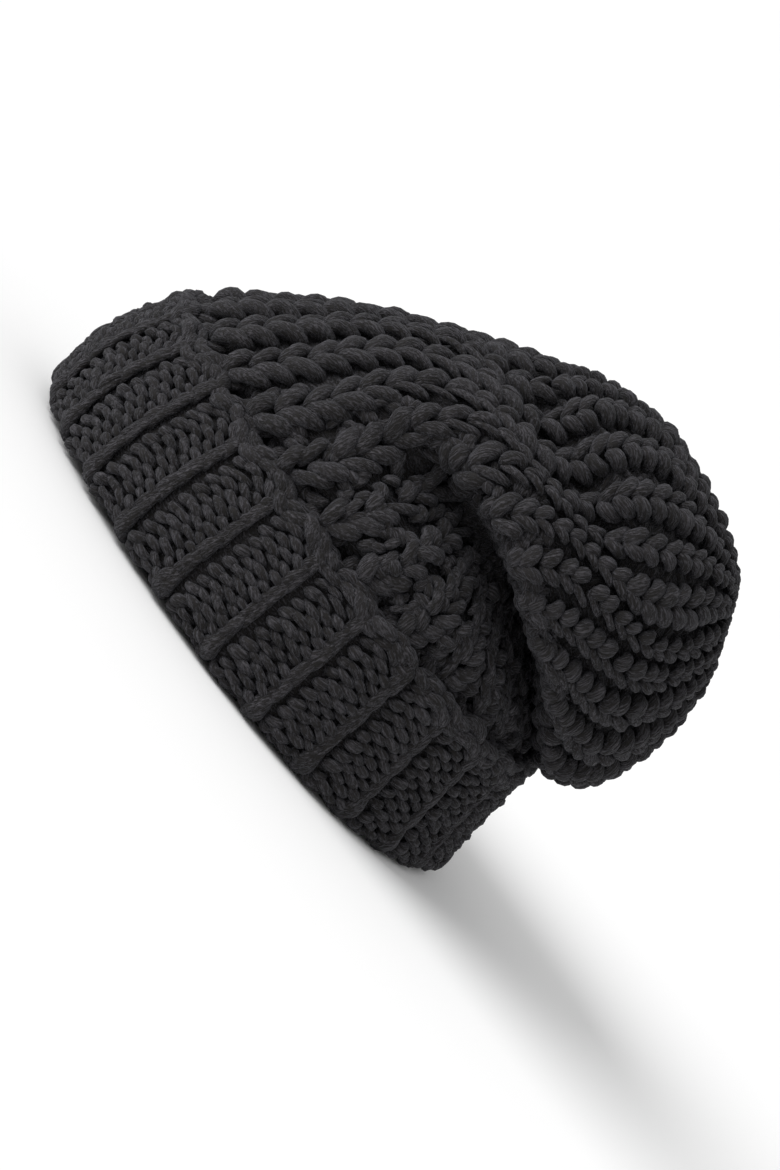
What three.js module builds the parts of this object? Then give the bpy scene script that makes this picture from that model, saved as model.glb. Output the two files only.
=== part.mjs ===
// Ribbed beanie, slouched to the back: a knitted crown with 24 ribs, and the cuff turned up round its lower edge.
// Millimetres. +Z is the crown's axis, the forehead faces -Y and the wearer's left is +X.
import * as THREE from "three";

// Driving dimensions
const ribCount = 24;
const samplesPerRib = 4;
const wallThickness = 6.5;
const layerGap = 0.3;
const crownGrooveDepth = 3.4;
const cuffGrooveDepth = 2.4;
const cuffFrontHeight = 59;
const cuffBackHeight = 50;
const rimHalfLength = 107;
const rimHalfWidth = 92.5;
const cuffTaperLength = 6;
const cuffBackTaper = 1.5;
const cuffTaperWidth = 7;
const cuffLayer = 7;
const rimFoldHeight = 8;
const scallopHeight = 2.2;
const eggShape = 0.1;
const cuffBulge = { front: 4, side: 2, backHollow: 2.2 };
const hiddenRows = 6;
const showingRow = 1.6;
const tipRow = 26;
const yarnColour = "#232427";

// Each loop of knitting is a closed curve through a front, a back, a near and a far point.
// The loops fan out backwards, so that the upper part lies over and behind the head.
const loopColumns = [
  "row", "frontY", "frontZ", "backY", "backZ", "sideY", "sideZ", "halfWidth", "lean", "farDrop",
];
const loopRows = [
  [-6, -101, 8, 101, 8, 2, 8, 84, 0, 0],
  [0, -95, 58, 92, 50, 0, 57, 83, 0, 0],
  [2, -87, 76, 91, 55, 5, 70, 83, 0, 1],
  [4, -72.5, 92.5, 88, 59.5, 13, 84, 82, 0, 2],
  [6, -57, 107.5, 83, 64, 21, 95, 80, 0, 3],
  [8, -40, 120, 80, 68, 29, 101, 78, 0, 4],
  [10, -23, 132, 87, 65, 37, 105, 76, 0, 5],
  [12, -5, 144, 97, 57, 46, 109, 74, 0, 5],
  [14, 13, 154.5, 106.5, 56.5, 56, 116.5, 71, -1, 6],
  [16, 34, 160, 116, 65, 68, 125, 66, -2, 8],
  [18, 55, 159, 119, 81, 81, 132, 59, -4, 12],
  [20, 72.5, 155, 118, 96.5, 92, 137.5, 48, -9, 14],
  [22, 85.5, 149, 114, 111, 99, 140, 34, -15, 12],
  [24, 92.5, 143, 105.5, 123.5, 99.5, 138.5, 18, -21, 7],
  [26, 97, 137, 97.6, 136.4, 97.3, 136.8, 0.5, -26, 0],
];

// Folds push the loops about: each works round one angle and one row, in millimetres.
const foldColumns = ["angle", "halfSpan", "soft", "rowStart", "rowEnd", "rowSpan", "inward", "back", "up"];
const foldRows = [
  [117, 48, 18, 5.6, 9.3, 1.9, 30, 0, 4], // the deep crease on the wearer's left
  [118, 34, 20, 4.8, 7.2, 1.9, 9, 0, 0], // the wall below it leans into the hollow
  [118, 42, 20, 9.6, 12.0, 1.7, -4, 2, 1], // the lip over it
  [134, 18, 18, 12.8, 12.8, 2.6, 0, 4, 6], // the lip rises towards the back
  [-120, 41, 20, 8.6, 8.6, 1.9, 25, 0, 2], // the crease on the wearer's right
  [-118, 40, 20, 11.6, 11.6, 1.6, -3, 0, -3], // and its lip
  [50, 32, 16, 11.0, 15.3, 1.35, 9, 0, 0], // the shallow valley over the top, left
  [-50, 30, 18, 13.5, 14.5, 1.5, 6, 0, 0], // and right
  [58, 24, 14, 9.6, 12.0, 1.2, -2.5, 0, 0], // the roll above the hollow
];

// The ribs don't run straight: every line wanders round the head, by so many ribs at its dip, its peak and its end.
const lineColumns = ["rib", "dipRow", "dip", "peakRow", "peak", "endRow", "end"];
const lineRows = [
  [0, 8.2, -0.95, 10.8, -0.5, 16.5, -2],
  [2, 8.6, -1.09, 11.2, -0.48, 16, -2],
  [3, 8.2, -0.98, 12, -0.35, 17, -2],
  [4, 8.8, -1.2, 12.9, -0.1, 18, -1.9],
  [5, 9.9, -1.5, 14.2, -0.38, 20.5, -1.7],
  [6, 11.6, -1.5, 16.2, -0.68, 22.5, -1.5],
  [7, 12.8, -1.6, 19, -0.1, 24, -0.9],
  [8, 12.8, -1.6, 19.5, -0.2, 24, -0.5],
  [9, 12.2, -1.7, 19, -0.35, 24, -0.3],
  [10, 11.5, -1.5, 19, -0.3, 24, 0],
  [12, 10.5, -0.9, 18, -0.1, 24, 0],
  [15, 9.5, -0.2, 16, 0, 23, -0.5],
  [18, 8, 0, 13, 0, 19, -1.1],
  [24, 8.2, -0.95, 10.8, -0.5, 16.5, -2],
];

// Rows at which the outer and the inner face have a ring of points
const outerRows = [
  -6, -3, 0, 1, 2, 3, 4, 5, 6, 7, 8, 9, 10, 11, 12, 13, 14, 15, 16, 17.5, 19, 20.5, 22, 23.3, 24.5, 25.3,
];
const innerRows = [-6, -3, 0, 2, 4, 5.5, 7, 8, 9, 10, 11, 12, 13.5, 15, 17, 19, 21, 23, 24.5];

const readTable = (columns, rows) =>
  rows.map((cells) => Object.fromEntries(columns.map((name, column) => [name, cells[column]])));
const loops = readTable(loopColumns, loopRows);
const folds = readTable(foldColumns, foldRows);
const lines = readTable(lineColumns, lineRows);

const radians = THREE.MathUtils.degToRad;
const smoothStep = (from, to, x) => THREE.MathUtils.smoothstep(x, from, to);

// One column of the loop table at any row: cubic steps whose slopes are those between the two neighbours.
function loopValue(name, row) {
  let k = 0;
  while (k < loops.length - 2 && loops[k + 1].row <= row) k += 1;
  const slope = (at) => {
    const low = loops[Math.max(at - 1, 0)];
    const high = loops[Math.min(at + 1, loops.length - 1)];
    return (high[name] - low[name]) / (high.row - low.row);
  };
  const step = loops[k + 1].row - loops[k].row;
  const t = (row - loops[k].row) / step;
  const start = (2 * t ** 3 - 3 * t ** 2 + 1) * loops[k][name];
  const end = (-2 * t ** 3 + 3 * t ** 2) * loops[k + 1][name];
  const leave = (t ** 3 - 2 * t ** 2 + t) * step * slope(k);
  const arrive = (t ** 3 - t ** 2) * step * slope(k + 1);
  return start + end + leave + arrive;
}

// Angle round the head of a place in the ribs: 0 at the forehead, 90 at the wearer's left, 180 at the back.
const ribAngle = (rib) => {
  const even = (360 / ribCount) * rib;
  return even + 1 + 3 * Math.cos(radians(even));
};

// How far the line of a rib has wandered at a row, in ribs: eased from 0 to its dip, its peak and its end.
function wander(rib, row) {
  const at = THREE.MathUtils.euclideanModulo(rib, ribCount);
  let k = 0;
  while (k < lines.length - 2 && lines[k + 1].rib <= at) k += 1;
  const share = (at - lines[k].rib) / (lines[k + 1].rib - lines[k].rib);
  const value = (name) => THREE.MathUtils.lerp(lines[k][name], lines[k + 1][name], share);
  const toDip = smoothStep(1.5, value("dipRow"), row);
  const toPeak = smoothStep(value("dipRow"), value("peakRow"), row);
  const toEnd = smoothStep(value("peakRow"), value("endRow"), row);
  const dip = value("dip");
  const peak = value("peak");
  return dip * toDip + (peak - dip) * toPeak + (value("end") - peak) * toEnd;
}

// How deep the groove beside a rib is there, from 0 on the rib's crest to 1 between two ribs.
const grooveShare = (rib) => Math.cos(Math.PI * rib) ** 4;

// The cuff's outer face at a share of its height, moved in by an inset.
const cuffHeight = (angle) =>
  cuffFrontHeight - (cuffFrontHeight - cuffBackHeight) * ((1 - Math.cos(radians(angle))) / 2) ** 3;

function cuffPoint(angle, share, inset) {
  const cosine = Math.cos(radians(angle));
  const sine = Math.sin(radians(angle));
  const { front, side, backHollow } = cuffBulge;
  const swell = front * Math.max(cosine, 0) + side - backHollow * Math.max(-cosine, 0);
  const bulge = swell * Math.sin(Math.PI * THREE.MathUtils.clamp(share, 0, 1));
  const halfLength = rimHalfLength - (cuffTaperLength + cuffBackTaper * (1 - cosine) / 2) * share;
  const halfWidth = rimHalfWidth - cuffTaperWidth * share;
  return new THREE.Vector3(
    (halfWidth + bulge - inset) * sine * (1 - eggShape * cosine),
    -(halfLength + bulge - inset) * cosine,
    share * cuffHeight(angle),
  );
}

// The crown's lower rows stand inside the cuff, from the rim's fold up to the cuff's top edge.
function hiddenPoint(angle, row, depth) {
  const lift = rimFoldHeight + layerGap;
  const share = THREE.MathUtils.clamp(row / hiddenRows + 1, 0, 1);
  const height = cuffHeight(angle);
  return cuffPoint(angle, (lift + (height - lift) * share) / height, cuffLayer + layerGap + depth);
}

// The smooth crown without its ribs: a loop through four named points, pushed by the folds.
function crownPoint(rib, row) {
  const angle = ribAngle(rib + wander(rib, row));
  const value = (name) => loopValue(name, row);
  const width = value("halfWidth");
  const lean = value("lean");
  const drop = value("farDrop");
  const front = new THREE.Vector3(lean, value("frontY"), value("frontZ"));
  const back = new THREE.Vector3(lean, value("backY"), value("backZ"));
  const near = new THREE.Vector3(lean + width, value("sideY"), value("sideZ"));
  const far = new THREE.Vector3(lean - width, near.y - 0.7 * drop, near.z - drop);
  const centre = front.clone().add(back).add(near).add(far).divideScalar(4);
  const turn = radians(angle);
  const point = centre.clone();
  point.addScaledVector(front.clone().sub(back), Math.cos(turn) / 2);
  point.addScaledVector(near.clone().sub(far), Math.sin(turn) / 2);
  point.addScaledVector(front.clone().add(back).sub(near).sub(far), Math.cos(2 * turn) / 4);
  const inward = centre.clone().sub(point).normalize();
  for (const fold of folds) {
    const away = THREE.MathUtils.euclideanModulo(angle - fold.angle + 180, 360) - 180;
    const round = 1 - smoothStep(fold.halfSpan - fold.soft, fold.halfSpan + fold.soft, Math.abs(away));
    const along = THREE.MathUtils.clamp((away + fold.halfSpan) / (2 * fold.halfSpan), 0, 1);
    const foldRow = fold.rowStart + (fold.rowEnd - fold.rowStart) * along;
    const push = round * Math.exp(-(((row - foldRow) / fold.rowSpan) ** 2));
    point.addScaledVector(inward, push * fold.inward);
    point.y += push * fold.back;
    point.z += push * fold.up;
  }
  return hiddenPoint(angle, row, 0).lerp(point, smoothStep(0, showingRow, row));
}

// The crown's surface at a depth below its smooth face, measured square to that face where it shows.
function crownSurface(rib, row, depth) {
  const step = 0.02;
  const along = crownPoint(rib + step, row).sub(crownPoint(rib - step, row));
  const low = Math.max(row - step, -hiddenRows);
  const up = crownPoint(rib, row + step).sub(crownPoint(rib, low));
  const normal = along.cross(up).normalize();
  const showing = crownPoint(rib, row).addScaledVector(normal, -depth);
  return hiddenPoint(ribAngle(rib), row, depth).lerp(showing, smoothStep(0, showingRow, row));
}

// A ring of points, one for each place round the ribs.
const ring = (count, pointAt) => Array.from({ length: count }, (_, k) => pointAt((ribCount * k) / count));

// Collects rings and triangles, and turns them into a mesh whose faces look outwards.
class Knit {
  constructor() {
    this.positions = [];
    this.triangles = [];
  }

  addRing(points) {
    const first = this.positions.length / 3;
    for (const point of points) this.positions.push(point.x, point.y, point.z);
    return points.map((_, k) => first + k);
  }

  // A band of triangles from one ring to the next; the first ring may have twice the points of the second.
  bridge(from, to) {
    const ratio = from.length / to.length;
    for (let k = 0; k < to.length; k += 1) {
      const next = (k + 1) % to.length;
      const a = from[k * ratio];
      const b = from[(k * ratio + 1) % from.length];
      this.triangles.push(a, b, to[k], b, to[next], to[k]);
      if (ratio === 2) this.triangles.push(b, from[(k * 2 + 2) % from.length], to[next]);
    }
  }

  // Closes a ring with a fan to one point.
  close(from, point) {
    const [tip] = this.addRing([point]);
    from.forEach((a, k) => this.triangles.push(a, from[(k + 1) % from.length], tip));
  }

  flipFrom(first) {
    for (let k = first; k < this.triangles.length; k += 3) {
      [this.triangles[k + 1], this.triangles[k + 2]] = [this.triangles[k + 2], this.triangles[k + 1]];
    }
  }

  mesh(name, colour, roughness) {
    const geometry = new THREE.BufferGeometry();
    geometry.setAttribute("position", new THREE.Float32BufferAttribute(this.positions, 3));
    geometry.setIndex(this.triangles);
    geometry.computeVertexNormals();
    const material = new THREE.MeshStandardMaterial({ color: colour, roughness, metalness: 0 });
    const made = new THREE.Mesh(geometry, material);
    made.name = name;
    return made;
  }
}

// The crown: its ribbed outer face, the pucker at the tip, and a plain inner face of half as many points.
function makeCrown() {
  const knit = new Knit();
  const outerCount = ribCount * samplesPerRib;
  const grooveAt = (rib, row) => {
    const fade = 1 - 0.75 * smoothStep(tipRow - 7, tipRow - 1, row);
    return crownGrooveDepth * fade * grooveShare(rib);
  };
  const outer = outerRows.map((row) =>
    knit.addRing(ring(outerCount, (rib) => crownSurface(rib, row, grooveAt(rib, row)))),
  );
  for (let k = 0; k + 1 < outer.length; k += 1) knit.bridge(outer[k], outer[k + 1]);
  const tip = crownPoint(0, tipRow);
  const bagCentre = new THREE.Vector3(0, 62, 105);
  const intoBag = bagCentre.sub(tip).normalize();
  knit.close(outer[outer.length - 1], tip.clone().addScaledVector(intoBag, 2.5));
  const firstInner = knit.triangles.length;
  const inner = innerRows.map((row) =>
    knit.addRing(ring(outerCount / 2, (rib) => crownSurface(rib, row, wallThickness))),
  );
  for (let k = 0; k + 1 < inner.length; k += 1) knit.bridge(inner[k], inner[k + 1]);
  knit.close(inner[inner.length - 1], tip.clone().addScaledVector(intoBag, wallThickness + 1.5));
  knit.bridge(outer[0], inner[0]);
  knit.flipFrom(firstInner);
  return knit.mesh("crown", yarnColour, 0.95);
}

// The cuff: a closed band that runs up its outer face, over the scalloped top edge, down beside the crown,
// under the crown's lower edge and round the rim's fold.
function makeCuff() {
  const knit = new Knit();
  const count = ribCount * samplesPerRib;
  const foldInset = cuffLayer + layerGap + wallThickness;
  const onFace = (share, inset, groove) => (rib) => {
    const angle = ribAngle(rib);
    const depth = inset + groove * cuffGrooveDepth * grooveShare(rib);
    const point = cuffPoint(angle, share, depth);
    point.z += scallopHeight * smoothStep(0.7, 1, share) * (0.5 - grooveShare(rib));
    return point;
  };
  const atHeight = (height, inset) => (rib) => {
    const angle = ribAngle(rib);
    return cuffPoint(angle, height / cuffHeight(angle), inset);
  };
  const section = [
    atHeight(0, 3.2),
    atHeight(3.6, 0.5),
    onFace(0.16, 0, 1),
    onFace(0.32, 0, 1),
    onFace(0.5, 0, 1),
    onFace(0.68, 0, 1),
    onFace(0.84, 0, 1),
    onFace(0.96, 0.6, 1),
    onFace(1, 3.2, 0),
    onFace(0.96, cuffLayer, 0),
    onFace(0.55, cuffLayer, 0),
    atHeight(rimFoldHeight, cuffLayer),
    atHeight(rimFoldHeight, foldInset),
    atHeight(3.6, foldInset),
    atHeight(0, foldInset - 3),
  ];
  const rings = section.map((pointAt) => knit.addRing(ring(count, pointAt)));
  rings.forEach((from, k) => knit.bridge(from, rings[(k + 1) % rings.length]));
  return knit.mesh("cuff", yarnColour, 0.95);
}

// Stands the hat with the middle of its footprint over the origin and its rim on z = 0.
const beanie = new THREE.Group();
beanie.add(makeCrown(), makeCuff());
beanie.updateMatrixWorld(true);
const bounds = new THREE.Box3().setFromObject(beanie, true);
beanie.position.set(-(bounds.min.x + bounds.max.x) / 2, -(bounds.min.y + bounds.max.y) / 2, -bounds.min.z);
beanie.updateMatrixWorld(true);

export default beanie;
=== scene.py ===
import math

import bpy
import numpy as np
from mathutils import Matrix, Vector


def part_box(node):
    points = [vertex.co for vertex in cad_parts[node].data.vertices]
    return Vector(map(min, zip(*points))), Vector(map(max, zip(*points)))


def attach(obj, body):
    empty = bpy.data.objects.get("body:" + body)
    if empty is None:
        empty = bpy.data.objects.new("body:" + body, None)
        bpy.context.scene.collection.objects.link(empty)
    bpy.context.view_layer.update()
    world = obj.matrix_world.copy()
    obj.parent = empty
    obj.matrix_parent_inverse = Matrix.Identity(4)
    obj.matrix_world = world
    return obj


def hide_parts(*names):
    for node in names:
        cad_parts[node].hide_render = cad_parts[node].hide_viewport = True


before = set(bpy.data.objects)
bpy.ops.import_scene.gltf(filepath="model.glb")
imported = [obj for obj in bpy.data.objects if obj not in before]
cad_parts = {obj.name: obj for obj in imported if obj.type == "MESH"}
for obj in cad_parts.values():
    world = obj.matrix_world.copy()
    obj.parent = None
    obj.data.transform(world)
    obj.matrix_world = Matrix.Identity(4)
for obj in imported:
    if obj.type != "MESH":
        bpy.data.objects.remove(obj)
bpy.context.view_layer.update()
chance = np.random.default_rng(11)

# The hat's driving sizes, the same as the CAD part's
hat = {
    "ribs": 24,
    "layerGap": 0.3,
    "cuffFront": 59,
    "cuffBack": 50,
    "rimHalfLength": 107,
    "rimHalfWidth": 92.5,
    "taperLength": 6,
    "backTaper": 1.5,
    "taperWidth": 7,
    "cuffLayer": 7,
    "cuffGroove": 2.4,
    "foldHeight": 8,
    "egg": 0.1,
    "bulgeFront": 4,
    "bulgeSide": 2,
    "backHollow": 2.2,
    "hiddenRows": 6,
    "showingRow": 1.6,
    "wanderRow": 1.5,
    "ribTurn": 1,
    "ribSpread": 3,
}

# Loops of the crown: row, frontY, frontZ, backY, backZ, sideY, sideZ, halfWidth, lean, farDrop
loops = np.array([
    [-6, -101, 8, 101, 8, 2, 8, 84, 0, 0],
    [0, -95, 58, 92, 50, 0, 57, 83, 0, 0],
    [2, -87, 76, 91, 55, 5, 70, 83, 0, 1],
    [4, -72.5, 92.5, 88, 59.5, 13, 84, 82, 0, 2],
    [6, -57, 107.5, 83, 64, 21, 95, 80, 0, 3],
    [8, -40, 120, 80, 68, 29, 101, 78, 0, 4],
    [10, -23, 132, 87, 65, 37, 105, 76, 0, 5],
    [12, -5, 144, 97, 57, 46, 109, 74, 0, 5],
    [14, 13, 154.5, 106.5, 56.5, 56, 116.5, 71, -1, 6],
    [16, 34, 160, 116, 65, 68, 125, 66, -2, 8],
    [18, 55, 159, 119, 81, 81, 132, 59, -4, 12],
    [20, 72.5, 155, 118, 96.5, 92, 137.5, 48, -9, 14],
    [22, 85.5, 149, 114, 111, 99, 140, 34, -15, 12],
    [24, 92.5, 143, 105.5, 123.5, 99.5, 138.5, 18, -21, 7],
    [26, 97, 137, 97.6, 136.4, 97.3, 136.8, 0.5, -26, 0],
])

# Folds: angle, halfSpan, soft, rowStart, rowEnd, rowSpan, inward, back, up
folds = np.array([
    [117, 48, 18, 5.6, 9.3, 1.9, 30, 0, 4],
    [118, 34, 20, 4.8, 7.2, 1.9, 9, 0, 0],
    [118, 42, 20, 9.6, 12.0, 1.7, -4, 2, 1],
    [134, 18, 18, 12.8, 12.8, 2.6, 0, 4, 6],
    [-120, 41, 20, 8.6, 8.6, 1.9, 25, 0, 2],
    [-118, 40, 20, 11.6, 11.6, 1.6, -3, 0, -3],
    [50, 32, 16, 11.0, 15.3, 1.35, 9, 0, 0],
    [-50, 30, 18, 13.5, 14.5, 1.5, 6, 0, 0],
    [58, 24, 14, 9.6, 12.0, 1.2, -2.5, 0, 0],
])


# The ribs wander: rib, dipRow, dip, peakRow, peak, endRow, end, all but the rows counted in ribs
lines = np.array([
    [0, 8.2, -0.95, 10.8, -0.5, 16.5, -2],
    [2, 8.6, -1.09, 11.2, -0.48, 16, -2],
    [3, 8.2, -0.98, 12, -0.35, 17, -2],
    [4, 8.8, -1.2, 12.9, -0.1, 18, -1.9],
    [5, 9.9, -1.5, 14.2, -0.38, 20.5, -1.7],
    [6, 11.6, -1.5, 16.2, -0.68, 22.5, -1.5],
    [7, 12.8, -1.6, 19, -0.1, 24, -0.9],
    [8, 12.8, -1.6, 19.5, -0.2, 24, -0.5],
    [9, 12.2, -1.7, 19, -0.35, 24, -0.3],
    [10, 11.5, -1.5, 19, -0.3, 24, 0],
    [12, 10.5, -0.9, 18, -0.1, 24, 0],
    [15, 9.5, -0.2, 16, 0, 23, -0.5],
    [18, 8, 0, 13, 0, 19, -1.1],
    [24, 8.2, -0.95, 10.8, -0.5, 16.5, -2],
])


# 0 below low, 1 above high, with a cubic ease between
def smoothStep(low, high, x):
    t = np.clip((x - low) / (high - low), 0, 1)
    return t * t * (3 - 2 * t)


# Vectors of length 1
def unit(vectors):
    return vectors / np.maximum(np.linalg.norm(vectors, axis=-1, keepdims=True), 1e-9)


# Every column of the loop table at any row: cubic steps, with the slope at a row that of its two neighbours
def loopValues(row):
    at = loops[:, 0]
    values = loops[:, 1:]
    slopes = np.vstack([
        (values[1] - values[0]) / (at[1] - at[0]),
        (values[2:] - values[:-2]) / (at[2:] - at[:-2])[:, None],
        (values[-1] - values[-2]) / (at[-1] - at[-2]),
    ])
    k = np.clip(np.searchsorted(at, row, side="right") - 1, 0, len(at) - 2)
    step = (at[k + 1] - at[k])[..., None]
    t = (row - at[k])[..., None] / step
    leave = (t**3 - 2 * t**2 + t) * step * slopes[k]
    arrive = (t**3 - t**2) * step * slopes[k + 1]
    ends = (2 * t**3 - 3 * t**2 + 1) * values[k] + (-2 * t**3 + 3 * t**2) * values[k + 1]
    return np.moveaxis(ends + leave + arrive, -1, 0)


# Degrees round the head: even steps, a little wider apart towards the back on both sides
def ribAngle(rib):
    even = 360 / hat["ribs"] * rib
    return even + hat["ribTurn"] + hat["ribSpread"] * np.cos(np.radians(even))


# Degrees from the forehead, the same to both sides
def fromFront(angle):
    return np.abs((angle + 180) % 360 - 180)


# How far the line of a rib has wandered at a row, in ribs: eased from 0 to its dip, its peak and its end
def wander(rib, row):
    at = rib % hat["ribs"]
    values = [np.interp(at, lines[:, 0], column) for column in lines[:, 1:].T]
    dipRow, dip, peakRow, peak, endRow, end = values
    toDip = dip * smoothStep(hat["wanderRow"], dipRow, row)
    toPeak = (peak - dip) * smoothStep(dipRow, peakRow, row)
    return toDip + toPeak + (end - peak) * smoothStep(peakRow, endRow, row)


# Degrees round the head of a place on the crown
def crownAngle(rib, row):
    return ribAngle(rib + wander(rib, row))


# 1 at a whole rib, where the ribs meet, and 0 between
def grooveShare(rib):
    return np.cos(np.pi * rib) ** 4


# Height of the cuff's top edge there
def cuffHeight(angle):
    low = ((1 - np.cos(np.radians(angle))) / 2) ** 3
    return hat["cuffFront"] - (hat["cuffFront"] - hat["cuffBack"]) * low


# The cuff's face: an egg-shaped ring that tapers with height and swells in its middle, moved in by an inset
def cuffPoint(angle, share, inset):
    cosine = np.cos(np.radians(angle))
    sine = np.sin(np.radians(angle))
    front = hat["bulgeFront"] * np.maximum(cosine, 0)
    swell = front + hat["bulgeSide"] - hat["backHollow"] * np.maximum(-cosine, 0)
    bulge = swell * np.sin(np.pi * np.clip(share, 0, 1))
    length = hat["rimHalfLength"] - (hat["taperLength"] + hat["backTaper"] * (1 - cosine) / 2) * share
    width = hat["rimHalfWidth"] - hat["taperWidth"] * share
    x = (width + bulge - inset) * sine * (1 - hat["egg"] * cosine)
    y = -(length + bulge - inset) * cosine
    return np.stack([x, y, share * cuffHeight(angle)], -1)


# The crown's lower rows, which stand inside the cuff
def hiddenPoint(angle, row):
    lift = hat["foldHeight"] + hat["layerGap"]
    share = np.clip(row / hat["hiddenRows"] + 1, 0, 1)
    height = cuffHeight(angle)
    inset = hat["cuffLayer"] + hat["layerGap"]
    return cuffPoint(angle, (lift + (height - lift) * share) / height, inset)


# How much of a fold there is at an angle, 1 less an eased distance from its middle, and the row that it
# keeps to
def foldPlace(fold, angle):
    at, halfSpan, soft, rowStart, rowEnd = fold[:5]
    away = (angle - at + 180) % 360 - 180
    share = 1 - smoothStep(halfSpan - soft, halfSpan + soft, np.abs(away))
    along = np.clip((away + halfSpan) / (2 * halfSpan), 0, 1)
    return share, rowStart + (rowEnd - rowStart) * along


# The smooth crown: a loop through a front, back, near and far point, its centre plus cos and sin of the angle
# times half their distances, pushed inwards, back and up by the folds
def crownPoint(rib, row):
    rib, row = np.broadcast_arrays(np.asarray(rib, float), np.asarray(row, float))
    frontY, frontZ, backY, backZ, sideY, sideZ, width, lean, drop = loopValues(row)
    angle = crownAngle(rib, row)
    turn = np.radians(angle)[..., None]
    front = np.stack([lean, frontY, frontZ], -1)
    back = np.stack([lean, backY, backZ], -1)
    near = np.stack([lean + width, sideY, sideZ], -1)
    far = np.stack([lean - width, sideY - 0.7 * drop, sideZ - drop], -1)
    centre = (front + back + near + far) / 4
    point = centre + (front - back) / 2 * np.cos(turn) + (near - far) / 2 * np.sin(turn)
    point = point + (front + back - near - far) / 4 * np.cos(2 * turn)
    inward = unit(centre - point)
    for fold in folds:
        share, foldRow = foldPlace(fold, angle)
        rowSpan, push, pushBack, pushUp = fold[5:]
        amount = (share * np.exp(-(((row - foldRow) / rowSpan) ** 2)))[..., None]
        point = point + amount * (inward * push + np.array([0, pushBack, pushUp]))
    shown = smoothStep(0, hat["showingRow"], row)[..., None]
    return hiddenPoint(angle, row) * (1 - shown) + point * shown


# The path that the middles of the cuff's stitches keep to, counted in mm along its section: 0 and more goes
# up the outer face to the top edge and rolls over it, less than 0 goes round the rim's fold and up the inside
cuffPath = {
    "foldHalf": 5.6,  # half the thickness of the rim's fold
    "foldLow": 2.4,  # height of the path below the fold, where the yarn just rests on the floor
    "square": 0.75,  # below 1 the fold is squarer than a half circle
    "hollow": 1.6,  # how far the fold is raised between the knobs in front
    "hollowBack": 0.4,  # share of that all the way round
    "hollowAngles": (100, 60),  # degrees from the forehead over which the front's share comes in
    "knobAt": 0.1,  # where a knob is lowest, in ribs from the dark line
    "topHalf": 2.3,  # half the thickness of the top edge's roll
    "scallop": 1.1,  # how far the top edge rises and falls, once a rib
    "inset": 0.3,
}


# Height: the fold's top plus the way up, less the fold times a squared-off sine, plus the roll's sine. Inset
# from the cuff's face: the fold times 1 less a squared-off cosine, and the roll times 1 less its cosine.
def cuffFace(rib, along):
    rib, along = np.broadcast_arrays(np.asarray(rib, float), np.asarray(along, float))
    angle = ribAngle(rib)
    height = cuffHeight(angle)
    half, top, square = cuffPath["foldHalf"], cuffPath["topHalf"], cuffPath["square"]
    between = 1 - grooveShare(rib - cuffPath["knobAt"])
    front = smoothStep(*cuffPath["hollowAngles"], fromFront(angle))
    rise = half + cuffPath["foldLow"] + cuffPath["hollow"] * between * (cuffPath["hollowBack"] + front)
    bend = np.clip(-along / half, 0, np.pi)
    sink = np.maximum(np.sin(bend), 0) ** square
    turned = 1 - np.sign(np.cos(bend)) * np.abs(np.cos(bend)) ** square
    inside = np.maximum(-along - np.pi * half, 0)
    scallop = cuffPath["scallop"] * -np.cos(2 * np.pi * rib)
    edge = height - rise - top
    over = np.clip((along - edge) / top, 0, np.pi)
    down = np.maximum(along - edge - np.pi * top, 0)
    z = rise + np.clip(along, 0, edge) - half * sink + inside + top * np.sin(over) - down
    z = z + scallop * smoothStep(0.7, 1, along / edge)
    inset = half * turned + top * (1 - np.cos(over)) + cuffPath["inset"]
    return cuffPoint(angle, z / height, inset)


# Places, outward normals and both directions of a surface, from its own small steps
def onSurface(surface, u, v):
    step = 0.02
    across = surface(u + step, v) - surface(u - step, v)
    upward = surface(u, v + step) - surface(u, v - step)
    return surface(u, v), unit(np.cross(across, upward)), across / (2 * step), upward / (2 * step)


# Weights of a curve's four even places at any share of the way, which make it a cubic through all four
def cubicWeights(share):
    at = np.array([0, 1, 2, 3]) / 3
    rows = []
    for k in range(4):
        others = np.delete(at, k)
        rows.append(np.prod((share[:, None] - others) / (at[k] - others), axis=1))
    return np.stack(rows, 1)


yarnShape = {
    "flat": 0.85,  # a strand's height against its width
    "uneven": 0.13,  # how deep the waves round it are, as a share of its radius
    "turn": 0.2,  # radians that its fibres turn in a mm
    "point": 0.5,  # how far its ends stand out, as a share of the radius there
}


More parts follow.
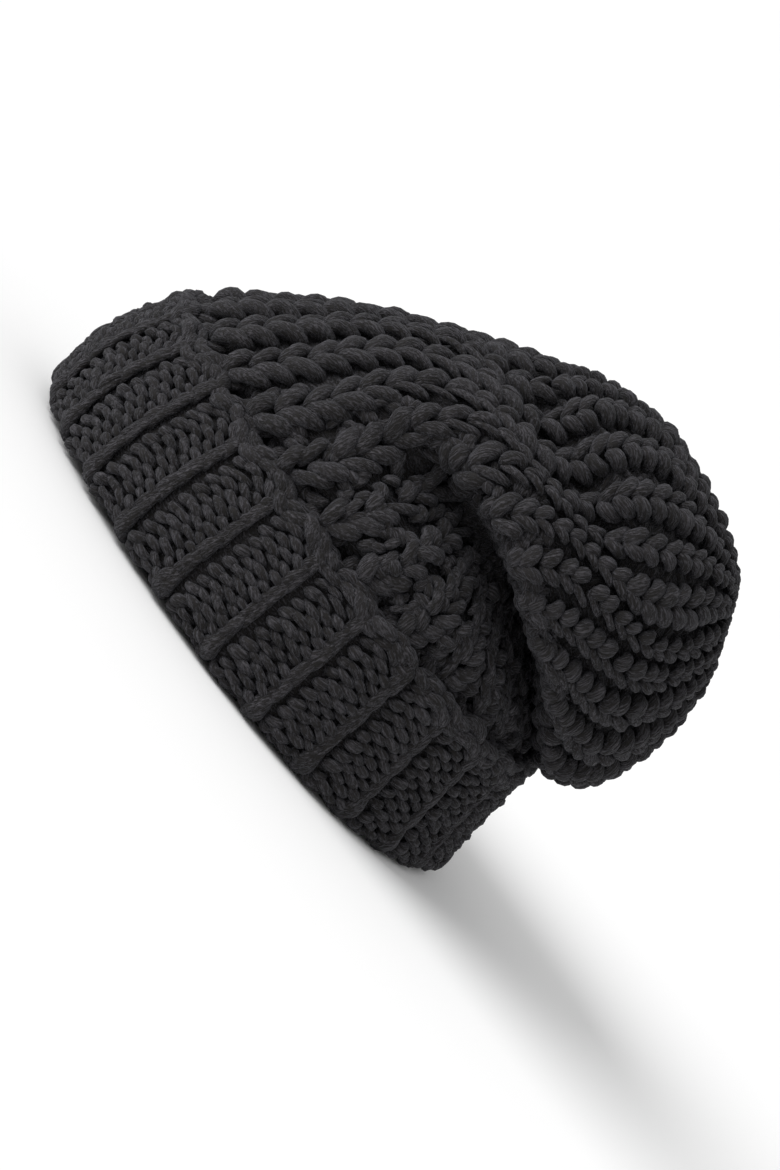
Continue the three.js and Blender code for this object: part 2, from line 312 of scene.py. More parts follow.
# Collects tubes and sheets of points, and makes one mesh of them
class Knitting:
    def __init__(self):
        self.points = []
        self.yarn = []
        self.shade = []
        self.quads = []
        self.triangles = []
        self.count = 0

    def take(self, points, yarn, shade):
        first = self.count
        self.points.append(points.reshape(-1, 3))
        self.yarn.append(yarn.reshape(-1, 3))
        self.shade.append(shade.reshape(-1))
        self.count += len(self.points[-1])
        return first

    # Lengths of yarn: a tube of even sides round each row of middles, closed by a point at both ends.
    # Each ring lies across the yarn's direction: radius times (cos, sin) along its side and its top, times a
    # slow wave of two and of three lobes that turns along the yarn. Each length has one tone, drawn between
    # the two of shade, and the painted shade of the crease is taken from it.
    def tubes(self, middles, normals, radius, sides, flat=yarnShape["flat"], shade=(0, 1), dim=0):
        lengths, stops = middles.shape[:2]
        along = unit(np.gradient(middles, axis=1))
        side = unit(np.cross(along, normals))
        top = np.cross(side, along)
        turn = np.arange(sides) * 2 * np.pi / sides
        wide = side[:, :, None] * np.cos(turn)[:, None]
        high = top[:, :, None] * (np.sin(turn) * flat)[:, None]
        travel = np.linalg.norm(np.diff(middles, axis=1), axis=-1)
        travel = np.concatenate([np.zeros((lengths, 1)), np.cumsum(travel, 1)], 1)
        travel = travel + chance.uniform(0, 400, (lengths, 1))
        far = travel[:, :, None]
        spread = radius[:, :, None]
        wave = 0.6 * np.sin(2 * turn + 0.5 * far) + 0.4 * np.sin(3 * turn - 0.7 * far)
        reach = spread * (1 + yarnShape["uneven"] * wave)
        rings = middles[:, :, None] + reach[..., None] * (wide + high)
        firstPole = middles[:, 0] - along[:, 0] * radius[:, :1] * yarnShape["point"]
        lastPole = middles[:, -1] + along[:, -1] * radius[:, -1:] * yarnShape["point"]
        poles = np.stack([firstPole, lastPole], 1)
        phase = turn + far * yarnShape["turn"]
        yarn = np.stack([far + 0 * phase, spread * np.cos(phase), spread * np.sin(phase)], -1)
        poleYarn = np.zeros((lengths, 2, 3))
        poleYarn[:, :, 0] = travel[:, [0, -1]]
        # a random tone for each length, less the painted shade
        shade = chance.uniform(*shade, (lengths, 1)) - dim
        points = np.concatenate([rings.reshape(lengths, -1, 3), poles], 1)
        coords = np.concatenate([yarn.reshape(lengths, -1, 3), poleYarn], 1)
        first = self.take(points, coords, np.broadcast_to(shade, points.shape[:2]))
        ring = np.arange(stops - 1)[:, None] * sides + np.arange(sides)
        after = np.arange(stops - 1)[:, None] * sides + (np.arange(sides) + 1) % sides
        quads = np.stack([ring, ring + sides, after + sides, after], -1).reshape(-1, 4)
        around = np.arange(sides)
        following = (around + 1) % sides
        last = (stops - 1) * sides
        start = np.stack([np.full(sides, stops * sides), around, following], -1)
        end = np.stack([np.full(sides, stops * sides + 1), last + following, last + around], -1)
        offsets = (first + np.arange(lengths) * (stops * sides + 2))[:, None, None]
        self.quads.append((quads + offsets).reshape(-1, 4))
        self.triangles.append((np.concatenate([start, end]) + offsets).reshape(-1, 3))

    # A sheet of points that goes all the way round in its second direction. Its ends are closed by poles, or
    # joined.
    def sheet(self, points, yarn, shade, joined=False):
        rows, columns = points.shape[:2]
        first = self.take(points, yarn, np.broadcast_to(shade, points.shape[:2]))
        bands = np.arange(rows if joined else rows - 1)[:, None] * columns
        after = (bands + columns) % (rows * columns)
        around = np.arange(columns)
        following = (around + 1) % columns
        quads = np.stack([bands + around, bands + following, after + following, after + around], -1)
        self.quads.append(first + quads.reshape(-1, 4))
        if not joined:
            poles = self.take(points[[0, -1]].mean(axis=1), yarn[[0, -1]].mean(axis=1), np.zeros(2))
            last = first + (rows - 1) * columns
            start = [np.full(columns, poles), first + following, first + around]
            end = [np.full(columns, poles + 1), last + around, last + following]
            self.triangles += [np.stack(start, -1), np.stack(end, -1)]

    # The mesh, in metres, with the yarn's own coordinates and each stitch's tone, random with painted shade,
    # for the material
    def finish(self, name, material):
        points = np.concatenate(self.points) + shift
        quads = np.concatenate(self.quads)
        triangles = np.concatenate(self.triangles) if self.triangles else np.zeros((0, 3), int)
        corners = np.concatenate([quads.ravel(), triangles.ravel()])
        starts = np.concatenate([np.arange(len(quads)) * 4, len(quads) * 4 + np.arange(len(triangles)) * 3])
        mesh = bpy.data.meshes.new(name)
        mesh.vertices.add(len(points))
        mesh.vertices.foreach_set("co", (points / 1000).astype(np.float32).ravel())
        mesh.loops.add(len(corners))
        mesh.loops.foreach_set("vertex_index", corners.astype(np.int32))
        mesh.polygons.add(len(starts))
        mesh.polygons.foreach_set("loop_start", starts.astype(np.int32))
        mesh.polygons.foreach_set("use_smooth", np.ones(len(starts), bool))
        mesh.update(calc_edges=True)
        yarn = mesh.attributes.new("yarn", "FLOAT_VECTOR", "POINT")
        yarn.data.foreach_set("vector", np.concatenate(self.yarn).astype(np.float32).ravel())
        # each stitch's random tone, less painted shade in the crease and deep between the stitches
        shade = mesh.attributes.new("stitch", "FLOAT", "POINT")
        shade.data.foreach_set("value", np.concatenate(self.shade).astype(np.float32))
        mesh.materials.append(material)
        made = bpy.data.objects.new(name, mesh)
        bpy.context.collection.objects.link(made)
        print(name, 2 * len(quads) + len(triangles), "triangles")
        return made


# Yarn laid on a surface: u and v place its middle, lift raises it along the surface's normal
def layYarn(knitting, surface, u, v, lift, radius, **how):
    points, normals, _, _ = onSurface(surface, u, v)
    knitting.tubes(points + normals * lift[..., None], normals, radius, **how)


# Colours and materials


# A colour as it looks on screen, such as "#202124", turned to the linear one that the shader takes
def linear(code):
    parts = [int(code[k:k + 2], 16) / 255 for k in (1, 3, 5)]
    return [p / 12.92 if p <= 0.04045 else ((p + 0.055) / 1.055) ** 2.4 for p in parts] + [1]


# Adds a node, sets its properties and inputs, and links the inputs that are sockets. An input's name is its
# own, or i and its number.
def addNode(tree, kind, settings=None, **inputs):
    node = tree.nodes.new(kind)
    for name, value in (settings or {}).items():
        setattr(node, name, value)
    for name, value in inputs.items():
        numbered = name[1:].isdigit()
        socket = node.inputs[int(name[1:]) if numbered else name.replace("_", " ")]
        if isinstance(value, bpy.types.NodeSocket):
            tree.links.new(value, socket)
        else:
            socket.default_value = value
    return node


yarnLook = {
    # the yarn's own near black, with painted shade where the fibres dip, and the colour where painted shade
    # is deepest
    "dark": "#181615",  # between the fibres
    # painted highlight on the raised fibres, over the yarn's own near black
    "light": "#403e41",  # on the fibres
    "roughness": 0.72,
    "gloss": 0.15,  # fibres give hardly any mirror light
    "sheen": 0.08,
    "sheenTint": "#edf0ff",
    "strand": 0.7,  # mm across a strand of fibres
    "fibre": 0.3,  # mm across a fibre's streak: a real fibre is a tenth of that, too fine to show
    "strandStretch": 7,  # how much longer than wide a strand's streak is
    "fibreStretch": 2.6,
    "fine": 0.75,  # share of the fibres' streaks against the strands'
    "contrast": (0.46, 0.62),  # the noise's values that give the dark and the light colour
    # with it, how strong the painted shade of the crease and the deep ground is
    "toneAndPaintedShade": 0.26,  # how far the tones of stitches differ
    "bump": 2.3,  # mm
    "bumpStrength": 0.7,
}


# Bulky low-twist wool and acrylic yarn: to the eye, long streaks of fibres that turn slowly round the strand,
# near black, with a painted grey highlight on the raised fibres and painted shade between them, matt, and a
# soft halo. Fibres are drawn coarser than they are.
def yarnMaterial(name):
    look = yarnLook
    material = bpy.data.materials.new(name)
    material.use_nodes = True
    tree = material.node_tree
    shader = tree.nodes["Principled BSDF"]
    place = addNode(tree, "ShaderNodeAttribute", {"attribute_name": "yarn"}).outputs["Vector"]
    stitch = addNode(tree, "ShaderNodeAttribute", {"attribute_name": "stitch"}).outputs["Fac"]
    streaks = []
    for kind in ("strand", "fibre"):
        shrink = (1 / look[kind + "Stretch"], 1, 1)
        drawn = addNode(tree, "ShaderNodeVectorMath", {"operation": "MULTIPLY"}, i0=place, i1=shrink)
        noise = addNode(tree, "ShaderNodeTexNoise", Vector=drawn.outputs["Vector"], Detail=2.0)
        noise.inputs["Scale"].default_value = 0.5 / look[kind]
        streaks.append(noise.outputs["Fac"])
    both = addNode(tree, "ShaderNodeMix", {"data_type": "FLOAT"}, A=streaks[0], B=streaks[1])
    both.inputs[0].default_value = look["fine"]
    low, high = look["contrast"]
    relief = addNode(tree, "ShaderNodeMapRange", Value=both.outputs[0], From_Min=low, From_Max=high)
    # the stitch's random tone and its painted shade, scaled
    uneven = addNode(tree, "ShaderNodeMath", {"operation": "MULTIPLY_ADD"}, i0=stitch)
    uneven.inputs[1].default_value = look["toneAndPaintedShade"]
    uneven.inputs[2].default_value = -look["toneAndPaintedShade"] / 2
    tone = addNode(tree, "ShaderNodeMath", {"operation": "ADD"}, i0=relief.outputs[0], i1=uneven.outputs[0])
    # painted highlight and shade: the relief that raises the bump makes raised fibres lighter and the gaps
    # darker
    colour = addNode(tree, "ShaderNodeMix", {"data_type": "RGBA"}, Factor=tone.outputs[0])
    colour.inputs[6].default_value = linear(look["dark"])
    colour.inputs[7].default_value = linear(look["light"])
    bump = addNode(tree, "ShaderNodeBump", Height=relief.outputs[0], Strength=look["bumpStrength"])
    bump.inputs["Distance"].default_value = look["bump"] / 1000
    tree.links.new(colour.outputs[2], shader.inputs["Base Color"])
    tree.links.new(bump.outputs["Normal"], shader.inputs["Normal"])
    shader.inputs["Roughness"].default_value = look["roughness"]
    shader.inputs["Specular IOR Level"].default_value = look["gloss"]
    shader.inputs["Sheen Weight"].default_value = look["sheen"]
    shader.inputs["Sheen Roughness"].default_value = 0.5
    shader.inputs["Sheen Tint"].default_value = linear(look["sheenTint"])
    return material


crownYarn = yarnMaterial("crown yarn, bulky low-twist wool and acrylic")
cuffYarn = yarnMaterial("cuff yarn, bulky low-twist wool and acrylic")

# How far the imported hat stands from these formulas' own middle
cuffSamples = np.arange(4 * hat["ribs"]) / 4
cuffRings = np.array([[0.16], [0.32], [0.5], [0.68], [0.84]])
ringPoints = cuffPoint(ribAngle(cuffSamples), cuffRings, hat["cuffGroove"] * grooveShare(cuffSamples))
shift = 1000 * np.array(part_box("cuff")[0]) - ringPoints.min(axis=(0, 1))
shift[2] = 0
print("the packed hat stands at", np.round(shift, 2))

# The crown

crownChains = {
    # an arm of a V: half ribs from the rib's middle, stitches upwards, mm above the surface
    "arm": [(0.05, -0.12, -4.3), (0.24, 0.3, -0.8), (0.49, 0.78, -0.8), (0.65, 1.2, -5.1)],
    "armRadius": 2.8,  # mm, the radius at which those heights hold
    "pitchTop": 10.0,  # mm a stitch where the crown is stretched over the head
    "pitchEnd": 7.0,  # in the slouching end
    "pitchBack": 6.4,  # and low on the back
    "broaden": 0.97,
    "squashRows": (9, 12.5),  # rows over which the slouching end gets squashed
    "across": 0.78,  # share of an arm's slant that is left there
    "closer": 0.12,  # share by which the arms lie closer there
    "slouchRows": (8, 12),  # rows over which the pairs below go from their first value to their second
    "slack": (0.012, 0.026),  # ribs by which the arms lie about
    "fill": (0.66, 0.74),  # an arm's radius as a share of the distance to the next
    "crest": (1.2, 2.6),  # mm that a rib's middle is raised over the head, and in the slouching end
    "meet": 1.8,  # mm that the first stitches stand out beside the cuff's edge
    "thin": 1.5,
    "thick": 3.5,
    "thinnerEnd": 0.5,  # mm that is taken from the thickest in the slouching end
    "endThin": 0.5,  # share by which an arm's two ends are thinner
    "stops": 9,
    "sides": 9,
}

# What the squashed wall's jumble adds: to an arm's reach, place and tilt in ribs, place and tilt in rows, and
# height, and what it takes from the thickest, in mm
wallJumble = {
    "reach": 0.12,
    "rib": 0.03,
    "ribTilt": 0.06,
    "row": 0.1,
    "rowTilt": 0.25,
    "lift": 0.35,
    "thinner": 0.6,
}


# A pair's value at a row: its first over the head, eased into its second in the slouching end
def eased(pair, row):
    return pair[0] + (pair[1] - pair[0]) * smoothStep(*crownChains["slouchRows"], row)


# How long a stitch is there, in mm: the top's pitch eased into the end's by row, and into the back's by angle
def stitchPitch(rib, row):
    p = crownChains
    top = p["pitchTop"] + (p["pitchEnd"] - p["pitchTop"]) * smoothStep(9, 13.5, row)
    back = smoothStep(60, 120, fromFront(crownAngle(rib, row)))
    return top * (1 - back) + p["pitchBack"] * back


# For one rib: the rows at which whole stitches start, by adding up the length over the pitch
def stitchRows(rib, firstRow, lastRow):
    row = np.linspace(firstRow, lastRow, 500)
    point = crownPoint(np.full_like(row, rib), row)
    length = np.linalg.norm(np.diff(point, axis=0), axis=1)
    middle = (row[1:] + row[:-1]) / 2
    total = np.concatenate([[0], np.cumsum(length / stitchPitch(rib, middle))])
    count = int(round(total[-1]))
    return count, total * count / total[-1], row


# How much the stitches lie about: 1 in the squashed wall over the cuff's sides and back, 0 elsewhere
def jumble(rib, row):
    side = smoothStep(52, 82, fromFront(crownAngle(rib, row)))
    return side * (1 - smoothStep(7.5, 10, row)) * smoothStep(-1, 1, row)


# Painted shade in the deep crease: its strength, where it is most above the fold's middle, and its width
paintedCreaseShadeSizes = {"dim": 1.5, "above": 0.4, "width": 0.9}


# How much painted shade darkens the stitches in the deep crease: most a little above the middle of the first
# fold, and less by the fourth power of the distance from there
def paintedCreaseShade(rib, row):
    share, foldRow = foldPlace(folds[0], crownAngle(rib, row))
    across = (row - foldRow - paintedCreaseShadeSizes["above"]) / (paintedCreaseShadeSizes["width"] * folds[0, 5])
    return paintedCreaseShadeSizes["dim"] * share * np.exp(-(across**4))


# Two arms of a V for every stitch of each rib. An arm is a cubic through its four places, measured from the
# rib's middle and the stitch's row. Its radius is a share of the way to the next arm: the step to the next
# stitch, less what of it lies along the arm.
def addChains(knitting, ribs):
    p, more = crownChains, wallJumble
    share = np.linspace(0, 1, p["stops"])
    sideways, upwards, lift = (cubicWeights(share) @ np.array(p["arm"])).T
    body = 1 - p["endThin"] * np.abs(2 * share - 1) ** 4
    for rib in ribs:
        middleRib = rib + 0.5
        count, total, row = stitchRows(middleRib, -0.6, 25.4)
        stitch = np.arange(count)[:, None]
        middle = np.interp(stitch + 0.55, total, row)
        squash = smoothStep(*p["squashRows"], middle)
        evenRows = np.interp(stitch + upwards, total, row)
        rows = evenRows + (middle - evenRows) * (1 - p["across"]) * squash
        first = rows[:, :1]
        loose = jumble(middleRib, first)
        slack = eased(p["slack"], first)
        nextRow = np.interp(stitch[:, 0] + 0.5 + np.array([[0], [1]]), total, row)
        ahead = np.diff(crownPoint(middleRib, nextRow), axis=0)[0]
        thick = p["thick"] - more["thinner"] * loose - p["thinnerEnd"] * smoothStep(8, 11, first)
        raised = eased(p["crest"], first) * (1 - share) ** 2.5 + p["meet"] * (1 - smoothStep(0.3, 2, first))
        # painted shade on the stitches in the deep crease
        dim = paintedCreaseShade(middleRib, middle)
        for hand in (-1, 1):
            wobble = chance.normal(0, 1, (count, 7)).T[..., None]
            aside, along, thicker, higher, wider, ribTilt, rowTilt = wobble
            reach = hand * sideways / 2 * (p["broaden"] + more["reach"] * loose * wider)
            tilt = loose * (share - 0.5)
            u = middleRib + reach + (slack + more["rib"] * loose) * aside + more["ribTilt"] * tilt * ribTilt
            v = rows + (2 * slack + more["row"] * loose) * along + more["rowTilt"] * tilt * rowTilt
            direction = unit(crownPoint(u[:, -3], v[:, -3]) - crownPoint(u[:, 2], v[:, 2]))
            gap = np.linalg.norm(np.cross(direction, ahead), axis=-1)[:, None] * (1 - p["closer"] * squash)
            radius = np.clip(eased(p["fill"], first) * gap, p["thin"], thick) * (1 + 0.06 * thicker)
            height = (lift + raised + (0.25 + more["lift"] * loose) * higher) * radius / p["armRadius"]
            layYarn(knitting, crownPoint, u, v, height, radius * body, sides=p["sides"], dim=dim)


wallFill = {
    "perRib": 9,  # lumps tried in each rib and row
    "rows": 13,
    "radius": 2.0,
    "reach": 3.1,  # half a lump's length
    "depth": 0.9,
    "deeperEnd": 2.2,  # added depth above the wall
    "deeperFront": 1.6,  # and towards the forehead
    "bend": 1.8,  # how far its ends go down
    "stops": 6,
    "sides": 7,
}


# Lumps that lie at all angles between the chains of the squashed wall
def addWallFill(knitting):
    p = wallFill
    share = np.linspace(-1, 1, p["stops"])
    body = 1 - 0.45 * np.abs(share) ** 3
    count = hat["ribs"] * p["perRib"] * p["rows"]
    rib = chance.uniform(0, hat["ribs"], (count, 1))
    row = chance.uniform(0.2, p["rows"], (count, 1))
    aside = fromFront(crownAngle(rib, row))
    kept = (smoothStep(38, 60, aside) * (1 - smoothStep(11, 14, row)) > 0.4)[:, 0]
    rib, row, aside = rib[kept], row[kept], aside[kept]
    _, _, across, upward = onSurface(crownPoint, rib, row)
    heading = chance.uniform(0, np.pi, rib.shape)
    u = rib + share * p["reach"] * np.cos(heading) / np.linalg.norm(across, axis=-1)
    v = row + share * p["reach"] * np.sin(heading) / np.maximum(np.linalg.norm(upward, axis=-1), 2)
    front = 1 - smoothStep(60, 80, aside)
    sunk = p["depth"] + p["deeperEnd"] * smoothStep(8, 10, row) + p["deeperFront"] * front
    lift = -sunk - p["bend"] * share**2 + chance.normal(0, 0.7, rib.shape)
    radius = p["radius"] * body * chance.uniform(0.85, 1.15, rib.shape)
    # the lumps in the deep crease get painted shade too
    layYarn(knitting, crownPoint, u, v, lift, radius, sides=p["sides"], dim=paintedCreaseShade(rib, row))


for half, ribs in (("left", range(0, 12)), ("right", range(12, 24))):
    knitting = Knitting()
    addChains(knitting, ribs)
    made = knitting.finish("crown_chains_" + half, crownYarn)
    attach(made, "root")
print("crown chains laid")

crownRungs = {
    "reach": 0.2,  # ribs to either side of the line between two ribs
    "depth": 4.9,
    "sag": 0.6,
    "radius": 1.5,
    # painted shade: the rungs lie deep between the ribs, so their tones are drawn dark
    "shade": (-0.8, -0.3),
    "stops": 5,
    "sides": 6,
}


# Short rungs deep between the ribs, one for each stitch, which sag by the square of the way from their middle
def addRungs(knitting):
    p = crownRungs
    share = np.linspace(-1, 1, p["stops"])
    for rib in range(hat["ribs"]):
        count, total, row = stitchRows(rib, -0.4, 25)
        rows = np.interp(np.arange(count) + 0.5, total, row)[:, None]
        wobble = chance.normal(0, 1, (count, 2))
        u = rib + p["reach"] * share + 0.02 * wobble[:, :1]
        v = rows + 0.25 * share * wobble[:, 1:]
        lift = -p["depth"] - p["sag"] * share**2
        radius = np.full(u.shape, p["radius"])
        layYarn(knitting, crownPoint, u, v, lift, radius, sides=p["sides"], shade=p["shade"])


crownLining = {
    "outer": 4.4,  # depth of the outer face below the surface
    "groove": 0.5,  # how much deeper it is in the slouching end
    "inner": 6.0,  # depth of the inner face
    "bump": 1.8,  # height of the bumps on it
    "bumpsPerRib": 2,
    "bottom": -5.95,  # rows
    "top": 25.9,
    "round": 192,
    "rows": 150,
    "hiddenRows": 12,
}
yarnScale = {"rib": 22, "row": 9}  # mm of the yarn's streaks on the bare ground, for a rib and for a row


# A closed shell in the middle of the wall: down from the tip on the inner face, where bumps of cos times cos
# stand for the knitting's reverse side, round the lower edge and up again on the outer face. Both faces come
# together at the tip, and inside the cuff they are moved level.
def addLining(knitting):
    p = crownLining
    hidden = np.linspace(p["bottom"], 0, p["hiddenRows"])[:-1]
    up = np.concatenate([hidden, np.linspace(0, p["top"], p["rows"])])
    inner = np.repeat([1, 0], len(up))[:, None]
    ribs = np.arange(p["round"]) * hat["ribs"] / p["round"]
    u, v = np.meshgrid(ribs, np.concatenate([up[::-1], up]))
    bump = 0.5 + 0.5 * np.cos(2 * np.pi * p["bumpsPerRib"] * u) * np.cos(2 * np.pi * v)
    outer = p["outer"] + p["groove"] * smoothStep(8, 12, v)
    lift = -outer - inner * (p["inner"] - outer + p["bump"] * bump * smoothStep(25.5, 22, v))
    points, normals, _, _ = onSurface(crownPoint, u, v)
    level = unit(normals * np.array([1, 1, 0]))
    shown = smoothStep(0.2, 1.6, v)[..., None]
    normals = unit(level * (1 - shown) + normals * shown)
    deep = (lift * smoothStep(26, 25.4, v))[..., None]
    yarn = np.stack([u * yarnScale["rib"], v * yarnScale["row"], lift], -1)
    # the outer face, seen deep between the ribs, gets painted shade: tone -0.8 against 0.4 on the inner face
    tone = inner * 1.2 - 0.8
    knitting.sheet(points + normals * deep, yarn, tone)


knitting = Knitting()
addRungs(knitting)
addLining(knitting)
ground = knitting.finish("crown_ground", crownYarn)
knitting = Knitting()
addWallFill(knitting)
lumps = knitting.finish("crown_lumps", crownYarn)
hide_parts("crown")
for made in (ground, lumps):
    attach(made, "root")
print("crown ground laid")

# The cuff

# One panel of the cuff runs from a dark line at a whole rib to the next: slanting lumps beside the line,
# columns of slanting grains, then a smooth ridge. All of it is counted in ribs across and in mm along the
# cuff's path.
panelSpan = {"start": -17.3, "short": 1.5}  # from inside the rim to short of the top edge's roll
cuffGrains = {
    # column's middle, its start in pitches, half its width
    "columns": [(0.35, 0.0, 0.17), (0.54, 0.5, 0.175), (0.725, 0.0, 0.13)],
    "pitch": 4.7,
    "slant": 0.55,
    "radius": 1.72,
    "lift": 0.5,
    "stops": 8,
    "sides": 8,
}
cuffLumps = {
    "columns": [(0.175, 0.0, 0.11)],
    "pitch": 5.2,
    "slant": -0.9,
    "radius": 2.05,
    "lift": 0.0,
    "stops": 8,
    "sides": 8,
}
cuffRidge = {
    "at": -0.125,
    "spread": 0.04,  # ribs from the ridge's middle to each of its two strands
    "start": -14,
    "pitch": 9.4,
    "radius": 1.95,
    "knob": 1.3,  # mm added to the radius where the ridge turns under at the rim
    "knobAt": -4,
    "knobSpan": 6,
    "flat": 0.8,
    "stops": 9,
    "sides": 8,
}
cuffEdge = {
    # row's start in lumps, mm past the start of the top's roll, lift, radius
    "rows": [(0.0, -1.5, 0.7, 2.5), (0.5, 1.8, 0.9, 2.7), (0.1, 5.0, 0.9, 2.6)],
    "perRib": 3.4,
    "stops": 8,
    "sides": 8,
}


# Where the top edge starts to roll over, in mm along the cuff's path
def cuffTop(rib):
    return cuffHeight(ribAngle(rib)) - cuffPath["foldHalf"] - cuffPath["foldLow"] - cuffPath["topHalf"]


# Short lengths of yarn across a column: each dips into the cuff at both ends, by the square of the way from
# its middle
def addColumn(knitting, rib, column, p):
    at, start, half = column
    first, last = panelSpan["start"], cuffTop(rib + at) - panelSpan["short"]
    share = np.linspace(-1, 1, p["stops"])
    body = 1 - 0.4 * np.abs(share) ** 3
    count = int(round((last - first) / p["pitch"]))
    along = first + (np.arange(count) + 0.25 + start) * (last - first) / count
    wobble = chance.normal(0, 1, (count, 5))
    u = rib + at + half * share * (1 + 0.1 * wobble[:, :1]) + 0.01 * wobble[:, 1:2]
    v = along[:, None] - share * (p["slant"] + 0.35 * wobble[:, 2:3]) + 0.25 * wobble[:, 4:]
    height = p["lift"] + 0.3 * wobble[:, 3:4] - 2.6 * share**2
    radius = p["radius"] * body * (1 + 0.07 * wobble[:, 3:4])
    layYarn(knitting, cuffFace, u, v, height, radius, sides=p["sides"])


# The columns of grains and the row of lumps on every panel
def addPanels(knitting):
    for rib in range(hat["ribs"]):
        for p in (cuffGrains, cuffLumps):
            for column in p["columns"]:
                addColumn(knitting, rib, column, p)


# A smooth ridge of two strands between two panels, each link of it thinner at its ends
def addRidges(knitting):
    p = cuffRidge
    share = np.linspace(0, 1, p["stops"])
    body = 1 - 0.25 * np.abs(2 * share - 1) ** 4
    for rib in range(hat["ribs"]):
        first, last = p["start"], cuffTop(rib + p["at"]) + 1
        count = int(round((last - first) / p["pitch"]))
        pitch = (last - first) / count
        along = first + np.arange(count)[:, None] * pitch
        for hand in (-1, 1):
            wobble = chance.normal(0, 1, (count, 4))
            u = rib + p["at"] + hand * p["spread"] * (1.2 - share * 0.9) + 0.006 * wobble[:, :1]
            v = along + pitch * (share * 1.35 - 0.15) + 0.5 * wobble[:, 3:]
            lift = 0.1 - 1.6 * np.abs(2 * share - 1) ** 3 + 0.25 * wobble[:, 1:2]
            knob = np.exp(-(((v - p["knobAt"]) / p["knobSpan"]) ** 2))
            thick = (p["radius"] + p["knob"] * knob) * body * (1 + 0.06 * wobble[:, 2:3])
            layYarn(knitting, cuffFace, u, v, lift, thick, flat=p["flat"], sides=p["sides"])


# The cast-on edge: rows of lumps that lie along the top and roll over it
def addEdge(knitting):
    p = cuffEdge
    share = np.linspace(-1, 1, p["stops"])
    body = 1 - 0.4 * np.abs(share) ** 3
    count = int(round(hat["ribs"] * p["perRib"]))
    for start, past, lift, radius in p["rows"]:
        wobble = chance.normal(0, 1, (count, 5))
        middle = ((np.arange(count) + start)[:, None] + 0.12 * wobble[:, :1]) * hat["ribs"] / count
        u = middle + share * 0.75 / p["perRib"] * (1 + 0.15 * wobble[:, 1:2])
        v = cuffTop(middle) + past + share * 0.9 * wobble[:, 2:3] + 0.5 * wobble[:, 3:4]
        height = lift + 0.4 * wobble[:, 4:] - 2.2 * share**2
        thick = radius * body * (1 + 0.1 * wobble[:, 4:])
        layYarn(knitting, cuffFace, u, v, height, thick, sides=p["sides"])


# The cuff's body under its stitches has a low tone, a light painted shade
cuffLining = {"depth": 2.3, "tone": -0.2, "round": 96, "stops": 70, "yarnLength": 60}


# The cuff's body below its stitches: a closed tube round the rim's fold, up the outer face, over the top edge
# and straight back down the inside
def addCuffBody(knitting):
    p = cuffLining
    ribs = np.arange(p["round"]) * hat["ribs"] / p["round"]
    u, share = np.meshgrid(ribs, np.linspace(0, 1, p["stops"]))
    last = cuffTop(u) + np.pi * cuffPath["topHalf"]
    first = -np.pi * cuffPath["foldHalf"]
    points, normals, _, _ = onSurface(cuffFace, u, first + (last - first) * share)
    yarn = np.stack([u * yarnScale["rib"], share * p["yarnLength"], np.zeros_like(u)], -1)
    knitting.sheet(points - normals * p["depth"], yarn, p["tone"], joined=True)


knitting = Knitting()
addPanels(knitting)
panels = knitting.finish("cuff_bumps", cuffYarn)
knitting = Knitting()
addRidges(knitting)
addEdge(knitting)
addCuffBody(knitting)
ridges = knitting.finish("cuff_ridges", cuffYarn)
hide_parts("cuff")
for made in (panels, ridges):
    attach(made, "root")
print("cuff laid")

# Floor, camera and light

studio = {
    "floor": "#ffffff",
    "floorSize": 14,  # metres, like the camera's distance, frame height and aim
    "tilt": 10,  # degrees that the camera looks down
    "roll": 51.87,  # degrees that it is turned about its line of sight
    "distance": 3.2,
    "frameHeight": 0.40365,
    "aim": (0, 0.0154, 0.0518),
    "sunAngle": 50,
    "sunStrength": 2.75,
    "world": "#ffffff",
    "worldStrength": 0.6,
}


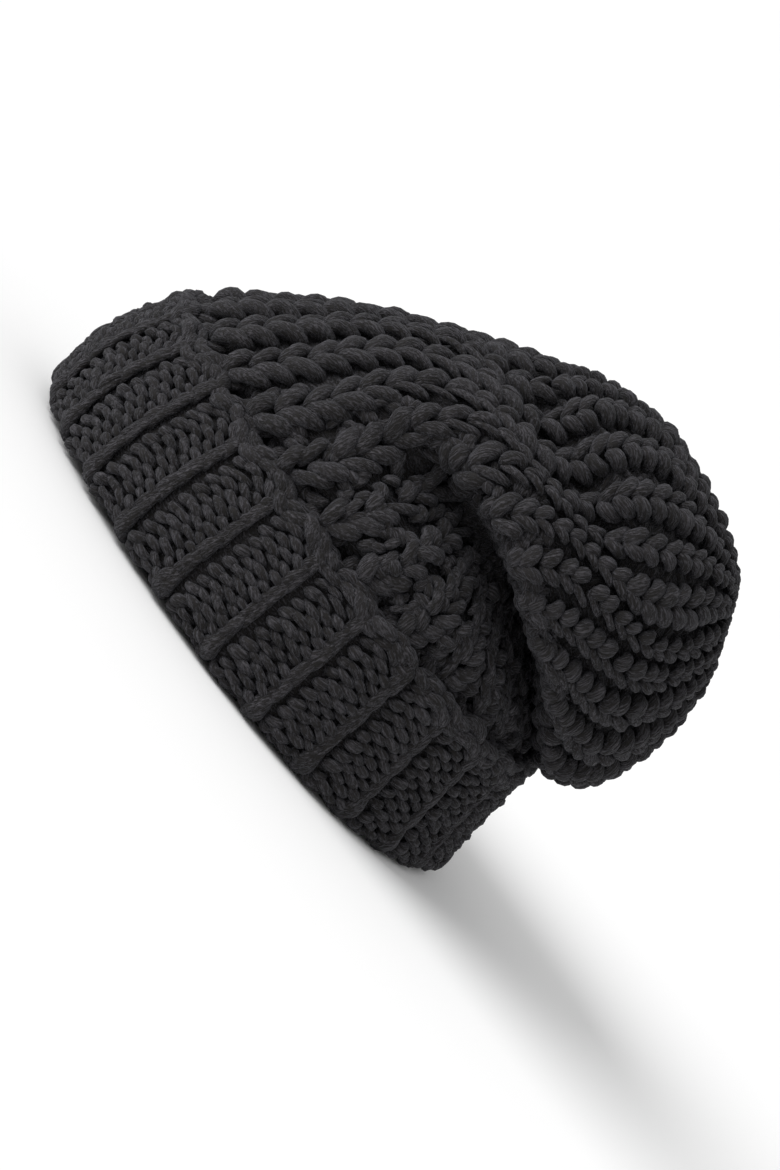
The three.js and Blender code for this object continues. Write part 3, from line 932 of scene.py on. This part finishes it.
# A square of matt white, wide enough that its edges aren't seen
def addFloor():
    half = studio["floorSize"] / 2
    corners = [(-half, -half, 0), (half, -half, 0), (half, half, 0), (-half, half, 0)]
    mesh = bpy.data.meshes.new("floor")
    mesh.from_pydata(corners, [], [(0, 1, 2, 3)])
    material = bpy.data.materials.new("studio floor, matt white paint")
    material.use_nodes = True
    shader = material.node_tree.nodes["Principled BSDF"]
    shader.inputs["Base Color"].default_value = linear(studio["floor"])
    shader.inputs["Roughness"].default_value = 0.9
    mesh.materials.append(material)
    floor = bpy.data.objects.new("floor", mesh)
    bpy.context.collection.objects.link(floor)


# The camera on the wearer's left, rolled as the photo is: its right and up are the level and raised
# directions turned by the roll
def addCamera():
    tilt, roll = math.radians(studio["tilt"]), math.radians(studio["roll"])
    back = Vector((math.cos(tilt), 0, math.sin(tilt)))
    raised = Vector((-math.sin(tilt), 0, math.cos(tilt)))
    level = Vector((0, 1, 0))
    right = level * math.cos(roll) + raised * math.sin(roll)
    up = raised * math.cos(roll) - level * math.sin(roll)
    data = bpy.data.cameras.new("camera")
    data.sensor_width = 36
    data.lens = 36 * studio["distance"] / studio["frameHeight"]
    data.clip_end = 100
    camera = bpy.data.objects.new("camera", data)
    turn = Matrix((right, up, back)).transposed()
    place = Vector(studio["aim"]) + back * studio["distance"]
    camera.matrix_world = Matrix.Translation(place) @ turn.to_4x4()
    bpy.context.collection.objects.link(camera)
    bpy.context.scene.camera = camera
    return right, up, back


# A large even light far away: its angle is how wide it looks from the hat, in degrees
def addSun(name, direction, angle, strength):
    data = bpy.data.lights.new(name, "SUN")
    data.angle = math.radians(angle)
    data.energy = strength
    light = bpy.data.objects.new(name, data)
    direction = direction.normalized()
    light.location = Vector(studio["aim"]) + direction
    light.rotation_mode = "QUATERNION"
    light.rotation_quaternion = direction.to_track_quat("Z", "Y")
    bpy.context.collection.objects.link(light)


addFloor()
right, up, back = addCamera()
overhead = up + back * 0.45 - right * 0.15
addSun("overhead soft light", overhead, studio["sunAngle"], studio["sunStrength"])

world = bpy.data.worlds.new("studio")
world.use_nodes = True
background = world.node_tree.nodes["Background"]
background.inputs["Color"].default_value = linear(studio["world"])
background.inputs["Strength"].default_value = studio["worldStrength"]
bpy.context.scene.world = world
bpy.context.scene.view_settings.view_transform = "Standard"
print("studio set")
